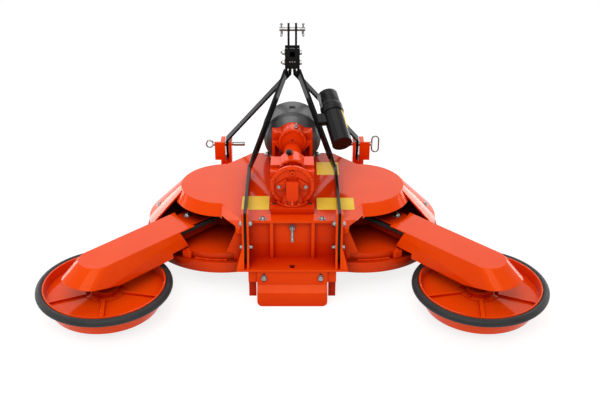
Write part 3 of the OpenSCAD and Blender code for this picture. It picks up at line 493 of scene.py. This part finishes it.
fittings = Shape()
fittings.bolt(COVER_BOLT, BACK, flats=15, head=7)
fittings.bolt(FRONT_BOLT, BACK, flats=14, head=7)
fittings.both()
fittings.hexagon(15, 557, 568, NIPPLE_PLACE)
fittings.lathe(NIPPLE, NIPPLE_PLACE, n=16)
fittings.piece("gearbox_fittings", "frame", STEEL, "steel")

breather = Shape()
breather.lathe(BREATHER, BREATHER_PLACE, n=20)
breather.piece("gearbox_breather", "frame", PLASTIC, "black_plastic")

# Painted shade for holes: thin near-black discs and slot outlines laid on the surface where the gearbox foot, the
# skid's slots, the oil plug and the front dome have holes

FOOT_HOLE, DOME_HOLE = (-77, -252, FOOT_Z), (0, DOME_FACES[1], 512)
SLOT_R, SLOT_REACH = 6.5, 15
SKID_X, SKID_Y, SKID_SLOT_Z = SKID_SCREW

hole_shades = Shape()
hole_shades.lathe([(0, 0), (7.5, 0), (7.5, 0.5), (0, 0.5)], aim(FOOT_HOLE, UP), n=20)
hole_shades.prism([*arc(SKID_X, SKID_SLOT_Z + SLOT_REACH, SLOT_R, 0, 180, 8),
             *arc(SKID_X, SKID_SLOT_Z - SLOT_REACH, SLOT_R, 180, 360, 8)],
            -SKID_Y - 0.2, -SKID_Y + 0.4, REARWARD)
hole_shades.both()
hole_shades.lathe([(0, 0), (4, 0), (4, 0.6), (0, 0.6)], aim(PLUG_AT, BACK), n=16)
hole_shades.lathe([(0, 0), (4.5, 0), (4.5, 0.5), (0, 0.5)], aim(DOME_HOLE, BACK), n=16)
hole_shades.piece("painted_hole_shades", "frame", HOLE_SHADE)

# Blank film labels on the hood and the tube

FILM_T, FILM_CORNER = 0.5, 5
# Least and greatest x, then y, of each label on the hood
HOOD_LABELS = ((-217, -99, -254, -130), (105, 201, -254, -145), (203, 266, -254, -145), (112, 214, 80, 214))
TUBE_AT, TUBE_TURN, TUBE_RISE, TUBE_R = (193, 215, 572), 14.1, 28.4, 46
STRIP_GAP, STRIP_ARC, STRIP_RUN = 0.05, (4, 44), (-80, 24)
TUBE = (Matrix.Translation(TUBE_AT) @ Matrix.Rotation(math.radians(TUBE_TURN), 4, "Z")
        @ Matrix.Rotation(math.radians(TUBE_RISE), 4, "X"))

labels = Shape()
c = FILM_CORNER
for x0, x1, y0, y1 in HOOD_LABELS:
    labels.prism([*arc(x1 - c, y0 + c, c, -90, 0, 4), *arc(x1 - c, y1 - c, c, 0, 90, 4),
                  *arc(x0 + c, y1 - c, c, 90, 180, 4), *arc(x0 + c, y0 + c, c, 180, 270, 4)],
                 HOOD_Z, HOOD_Z + FILM_T)
labels.piece("hood_labels", "frame", YELLOW)

strip = Shape()
inner, outer = (arc(0, 0, r, *STRIP_ARC, 10) for r in (TUBE_R + STRIP_GAP, TUBE_R + FILM_T))
strip.prism([*outer, *inner[::-1]], *STRIP_RUN, TUBE @ FORWARD)
strip.piece("tube_label", "frame", YELLOW)

# Document tube: a stepped cap with a collar

CAP = [(TUBE_R, 27), (51, 27), (52, 29), (52, 66), (50, 70), (48.5, 72), (48, 136), (45, 143), (38, 147),
       (0, 147), (0, 143), (TUBE_R, 138)]

cap = Shape()
cap.lathe(CAP, TUBE @ Matrix.Rotation(math.radians(-90), 4, "X"), n=48, ring=True)
cap.piece("moulded_tube_cap", "frame", PLASTIC, "black_plastic", ["tube_cap"])

# Hitch: link pins with a round and an oval ring, linch pins with their rings, dots on the mast plate

PIN_TURNED = [(0, 236), (9, 236), (11, 239), (11, 293), (9, 294.5), (9, 299.5), (11, 301), (11, 393),
              (9, 396), (0, 396)]
PIN_RING_R, PIN_RING_LEAN = 17, 0.25
ROUND_X, ROUND_WIRE = -412, 4.6
OVAL_X, OVAL_WIRE, OVAL_TOP_Z, OVAL_LOW_Z = 413, 4.2, 334, 284
LINCH_X, LINCH_R, LINCH_LEAN, LINCH_WIRE = -49, 13, 4, 2.3
LINCH_Y, LINCH_Z = TOP_PIN.y - 5, TOP_PIN.z - 20
LINCH_HEAD = [(0, 964), (4.5, 964), (6.5, 966), (6.5, 972), (4, 974), (0, 974)]
MAST_REAR, DOT_ROW, DOT_Z = 345, (-11, 0, 11), 797

pin_body = Shape()
pin_body.lathe(PIN_TURNED, aim((0, LINK_PIN.y, LINK_PIN.z), LEFT), n=32)
pin = Shape().join(pin_body)
pin.sweep([(x, LINK_PIN.y + PIN_RING_LEAN * (z - LINK_PIN.z), z)
           for x, z in arc(ROUND_X, LINK_PIN.z, PIN_RING_R, 0, 345, 23)], ROUND_WIRE, closed=True)
pin.piece("link_pin_left", "frame", STEEL, "steel", ["hitch_pin_left"])
pin = pin_body.mirrored()
oval = [*arc(OVAL_X, OVAL_TOP_Z, PIN_RING_R, 0, 180, 10), *arc(OVAL_X, OVAL_LOW_Z, PIN_RING_R, 180, 360, 10)]
pin.sweep([(x, LINK_PIN.y, z) for x, z in oval], OVAL_WIRE, closed=True)
pin.piece("link_pin_right", "frame", STEEL, "steel", ["hitch_pin_right"])

rings = Shape()
spokes = [polar(1, 360 * k / 24) for k in range(24)]
rings.sweep([(LINCH_X + LINCH_LEAN * s, LINCH_Y + LINCH_R * s, LINCH_Z - LINCH_R * c) for c, s in spokes],
            LINCH_WIRE, n=8, closed=True)
rings.lathe(LINCH_HEAD, Matrix.Translation((LINCH_X - 1, TOP_PIN.y, 0)), n=16)
rings.both()
for x in DOT_ROW:
    rings.dome((x, MAST_REAR, DOT_Z), BACK, radius=3.5, height=2)
rings.piece("linch_rings", "frame", STEEL, "steel")

# Stays: flat bars with a slight twist above the bend, so that their inner faces show

STAY_X, STAY_T, STAY_D, STAY_CUT = -195, 12, 50, 1.5
STAY_REAR, STAY_LEG_FRONT, STAY_FOOT_Z = -398, -353, 185
STAY_Z, STAY_BEND_Y = 360, 65
STAY_TOP_X, STAY_TOP_Z, STAY_TAB_HALF, STAY_TAB_Z = -28, 746, 17, 850
# How far the rising bar runs back into the level one
STAY_OVERLAP = Vector((0, 10.8, 12.7))
# Twist in degrees at shares of the rise
STAY_TWIST = ((0, 0), (0.06, 5), (0.15, 14), (1, 14))

foot = Vector((STAY_X, STAY_BEND_Y, STAY_Z + STAY_D / 2))
rise = Vector((STAY_TOP_X, TOP_PIN.y, STAY_TOP_Z)) - foot
broad = Vector((0, -rise.z, rise.y)).normalized()
u0, w0 = STAY_T / 2, STAY_D / 2
u1, w1 = u0 - STAY_CUT, w0 - STAY_CUT
section = ((-u1, -w0), (u1, -w0), (u0, -w1), (u0, w1), (u1, w0), (-u1, w0), (-u0, w1), (-u0, -w1))
rows = []
for share, twist in STAY_TWIST:
    c, s = polar(1, twist)
    thin = Vector(RIGHT) * c + broad * s
    wide = broad * c - Vector(RIGHT) * s
    rows.append([foot + rise * share + thin * u + wide * w for u, w in section])
rows.insert(0, [v - STAY_OVERLAP for v in rows[0]])

stay = Shape()
stay.block((STAY_X - u0, STAY_REAR, STAY_Z), (STAY_X + u0, STAY_BEND_Y, STAY_Z + STAY_D))
stay.block((STAY_X - u0, STAY_REAR, STAY_FOOT_Z), (STAY_X + u0, STAY_LEG_FRONT, STAY_Z))
stay.block((STAY_TOP_X - u0, TOP_PIN.y - STAY_TAB_HALF, STAY_TOP_Z - STAY_T),
           (STAY_TOP_X + u0, TOP_PIN.y + STAY_TAB_HALF, STAY_TAB_Z))
stay.loft(rows)
stay.piece("bent_stay_left", "frame", BLACK, "black_paint", ["stay_left"])
stay.mirrored().piece("bent_stay_right", "frame", BLACK, "black_paint", ["stay_right"])

# Deck: weld beads, stop blocks, gussets at the bracket feet, fillings in the hood's notch beside the gearbox

PLATE_Z = 165
STEP_R, STEP_Z, STEP_BEADS, BEAD_FROM, BEAD_STEP, BEAD_WOBBLE = 335, 150, 35, 70, 0.7, 1.5
FOOT_WELDS, FOOT_WELD_Y, FOOT_BEADS, FOOT_BEAD_STEP = (-186, -213), -396, 20, 2.2
STOP_AT, STOP_TURN, STOP_TOP = (-449, -300), -28, 178
STOP_HALF_X, STOP_HALF_Y, STOP_LOW = 20, 15, STEP_Z - 2
GUSSET = [(-352, PLATE_Z), (-438, PLATE_Z), (-438, 170), (-398, 246), (-352, 246)]
GUSSET_SIDES, GUSSET_T = (-189, -210), 9
WEDGE = [(-210, -398, 246), (-210, -390, 246), (-210, -438, PLATE_Z), (-233, -438, PLATE_Z),
         (-233, -424, PLATE_Z), (-210, -424, PLATE_Z)]
WEDGE_FACES = [(0, 2, 3), (1, 4, 5), (0, 3, 4, 1), (2, 0, 1, 5), (2, 5, 4, 3)]
# Lower and upper corner of each filling in the notch
FILLINGS = (((-112, 196, 309), (0, 300, 315)), ((-112, 200, 312), (-97, 325, 340)))

# Each bead takes its width from its number, so that a weld is uneven but always the same
welds = Shape()
bead_path = []
for k in range(STEP_BEADS):
    x, y = polar(STEP_R + BEAD_WOBBLE * (k % 2), BEAD_FROM + BEAD_STEP * k)
    bead_path.append((PIVOT.x - x, -y, STEP_Z))
welds.sweep(bead_path, [4.0 + 1.6 * (k * 7 % 5) / 4 for k in range(STEP_BEADS)], n=8)
for x in FOOT_WELDS:
    welds.sweep([(x, FOOT_WELD_Y + FOOT_BEAD_STEP * k, PLATE_Z + 1) for k in range(FOOT_BEADS)],
                [3.0 + k * 3 % 4 / 3 for k in range(FOOT_BEADS)], n=8)
welds.block((-STOP_HALF_X, -STOP_HALF_Y, STOP_LOW), (STOP_HALF_X, STOP_HALF_Y, STOP_TOP),
            Matrix.Translation((*STOP_AT, 0)) @ Matrix.Rotation(math.radians(STOP_TURN), 4, "Z"), edge=3)
welds.bolt((*STOP_AT, STOP_TOP), UP, flats=14, head=5)
for x in GUSSET_SIDES:
    welds.prism(GUSSET, x, x + GUSSET_T, SIDEWAYS)
welds.add(WEDGE, WEDGE_FACES)
for low, high in FILLINGS:
    welds.block(low, high, edge=2)
welds.both()
welds.piece("deck_weldments", "frame", ORANGE, "orange_paint")

# Driveline guard: painted shade for a slot, a thin dark patch on top of its cone

GUARD_SLOT = ((136.6, 284), (137.6, 284), (138.9, 300), (137.9, 300))
GUARD_SLOT_TURNS = range(-6, 7, 2)

rows = []
for turn in GUARD_SLOT_TURNS:
    up, across = polar(1, turn)
    rows.append([(r * across, y, DRIVE_Z + r * up) for r, y in GUARD_SLOT])

guard_slot_shade = Shape()
guard_slot_shade.loft(rows)
guard_slot_shade.piece("guard_slot_shade", "frame", HOLE_SHADE)

# Arms: toothed belts and apron screws

BELT_NEAR_R, BELT_FAR_R, BELT_RUN_N = 63.0, 39.0, 96
BELT_IN, BELT_ROOT, BELT_TOOTH = 0.4, 7.2, 9.8
BELT_LOW, BELT_HIGH, BELT_CROWN = 231, 245, 245.6
ARM_PLACE = Matrix.Translation((PIVOT.x, 0, 0)) @ Matrix.Rotation(ARM_TURN, 4, "Z")
APRON_SCREW = (205, -25, 255)

lean = math.degrees(math.asin((BELT_NEAR_R - BELT_FAR_R) / ARM_L))
near = arc(0, 0, BELT_NEAR_R, 90 - lean, 270 + lean, 44)
far = arc(ARM_L, 0, BELT_FAR_R, 270 + lean, 450 - lean, 28)
loop = [*near, *between(near[-1], far[0], BELT_RUN_N), *far, *between(far[-1], near[0], BELT_RUN_N)]
rows = []
for k, (x, y) in enumerate(loop):
    along = (Vector(loop[(k + 1) % len(loop)]) - Vector(loop[k - 1])).normalized()
    reach = BELT_TOOTH if k % 2 else BELT_ROOT
    profile = ((BELT_IN, BELT_LOW), (reach, BELT_LOW), (reach, BELT_HIGH), (BELT_IN, BELT_CROWN))
    rows.append([(x + along.y * out, y - along.x * out, z) for out, z in profile])

belt = Shape()
belt.loft(rows, ARM_PLACE, closed=True)
belt.piece("toothed_belt_left", "arm_left", RUBBER, "rubber", ["arm_belts_left"], sharp=20)
belt.mirrored().piece("toothed_belt_right", "arm_right", RUBBER, "rubber", ["arm_belts_right"], sharp=20)

apron = Shape()
apron.dome(ARM_PLACE @ Vector(APRON_SCREW), UP, radius=13, height=9, washer=18)
apron.piece("apron_screw_left", "arm_left", STEEL, "steel")
apron.mirrored().piece("apron_screw_right", "arm_right", STEEL, "steel")

# Guard discs: painted screws round the hub

HUB_SCREW_N, HUB_SCREW_R = 6, 71
DISC_PLACE = ARM_PLACE @ Matrix.Translation((ARM_L, 0, 0))

hub = Shape()
for k in range(HUB_SCREW_N):
    spot = (*polar(HUB_SCREW_R, 360 * (k + 0.5) / HUB_SCREW_N), DISC_HUB.z)
    hub.bolt(DISC_PLACE @ Vector(spot), UP, flats=15, head=8, washer=10)
hub.piece("hub_screws_left", "guard_left", ORANGE, "orange_paint")
hub.mirrored().piece("hub_screws_right", "guard_right", ORANGE, "orange_paint")


# Studio: a floor and a backdrop that the camera and mirror-like surfaces see as white

FLOOR_HALF = 40.0
FLOOR_Z = -0.0005
FLOOR_BOUNCE = 0.9
FLOOR_SHADE = 0.30
FLOOR_GLOW = 0.80
WORLD_FILL = 0.45


def seen_by_eye(tree):
    """1 for camera, mirror and glass rays, 0 for the rest."""
    path = tree.nodes.new("ShaderNodeLightPath")
    total = path.outputs["Is Camera Ray"]
    for ray in ("Is Glossy Ray", "Is Transmission Ray"):
        node = tree.nodes.new("ShaderNodeMath")
        node.operation = "MAXIMUM"
        tree.links.new(total, node.inputs[0])
        tree.links.new(path.outputs[ray], node.inputs[1])
        total = node.outputs["Value"]
    return total


def matt(tree, grey):
    node = tree.nodes.new("ShaderNodeBsdfDiffuse")
    node.inputs["Color"].default_value = (grey, grey, grey, 1)
    return node.outputs["BSDF"]


def floor_material():
    """Pale for the light that it gives back, and to the eye white but for the object's shadow."""
    pale = bpy.data.materials.new("pale_floor")
    pale.use_nodes = True
    tree = pale.node_tree
    tree.nodes.clear()
    glow = tree.nodes.new("ShaderNodeEmission")
    glow.inputs["Strength"].default_value = FLOOR_GLOW
    white = tree.nodes.new("ShaderNodeAddShader")
    tree.links.new(matt(tree, FLOOR_SHADE), white.inputs[0])
    tree.links.new(glow.outputs["Emission"], white.inputs[1])
    mix = tree.nodes.new("ShaderNodeMixShader")
    tree.links.new(seen_by_eye(tree), mix.inputs["Fac"])
    tree.links.new(matt(tree, FLOOR_BOUNCE), mix.inputs[1])
    tree.links.new(white.outputs["Shader"], mix.inputs[2])
    out = tree.nodes.new("ShaderNodeOutputMaterial")
    tree.links.new(mix.outputs["Shader"], out.inputs["Surface"])
    return pale


bm = bmesh.new()
bmesh.ops.create_grid(bm, x_segments=1, y_segments=1, size=FLOOR_HALF)
mesh = bpy.data.meshes.new("floor")
bm.to_mesh(mesh)
bm.free()
mesh.materials.append(floor_material())
floor = bpy.data.objects.new("floor", mesh)
bpy.context.collection.objects.link(floor)
floor.location.z = FLOOR_Z

world = bpy.data.worlds.new("studio")
world.use_nodes = True
sky = world.node_tree.nodes["Background"]
sky.inputs["Color"].default_value = (1, 1, 1, 1)
level = spread(world.node_tree, seen_by_eye(world.node_tree), WORLD_FILL, 1.0)
world.node_tree.links.new(level, sky.inputs["Strength"])
bpy.context.scene.world = world


def softbox(name, place, target, size, glow):
    """A soft lamp as bright to look at as glow, where 1 is the backdrop's white. Places are in metres."""
    data = bpy.data.lights.new(name, "AREA")
    data.shape = "RECTANGLE"
    data.size, data.size_y = size
    data.energy = glow * math.pi * size[0] * size[1]
    lamp = bpy.data.objects.new(name, data)
    lamp.location = place
    lamp.rotation_euler = (Vector(target) - Vector(place)).to_track_quat("-Z", "Y").to_euler()
    bpy.context.collection.objects.link(lamp)


MIDDLE = (0, 0, 0.3)
REAR_MIDDLE = (0, -0.2, 0.3)
softbox("top_light", (-0.4, 0.2, 3.6), MIDDLE, (3.2, 2.4), glow=1.0)
softbox("front_light", (-0.6, -3.6, 4.4), REAR_MIDDLE, (4.0, 2.6), glow=4.2)
softbox("back_light", (0, 4.4, 2.7), MIDDLE, (7.0, 1.8), glow=1.1)
for side in (-1, 1):
    softbox("facet_light", (2.6 * side, 0.2, 0.36), REAR_MIDDLE, (1.0, 0.7), glow=3.5)
    softbox("skirt_light", (2.4 * side, 1.9, 0.55), MIDDLE, (1.4, 0.9), glow=6.0)
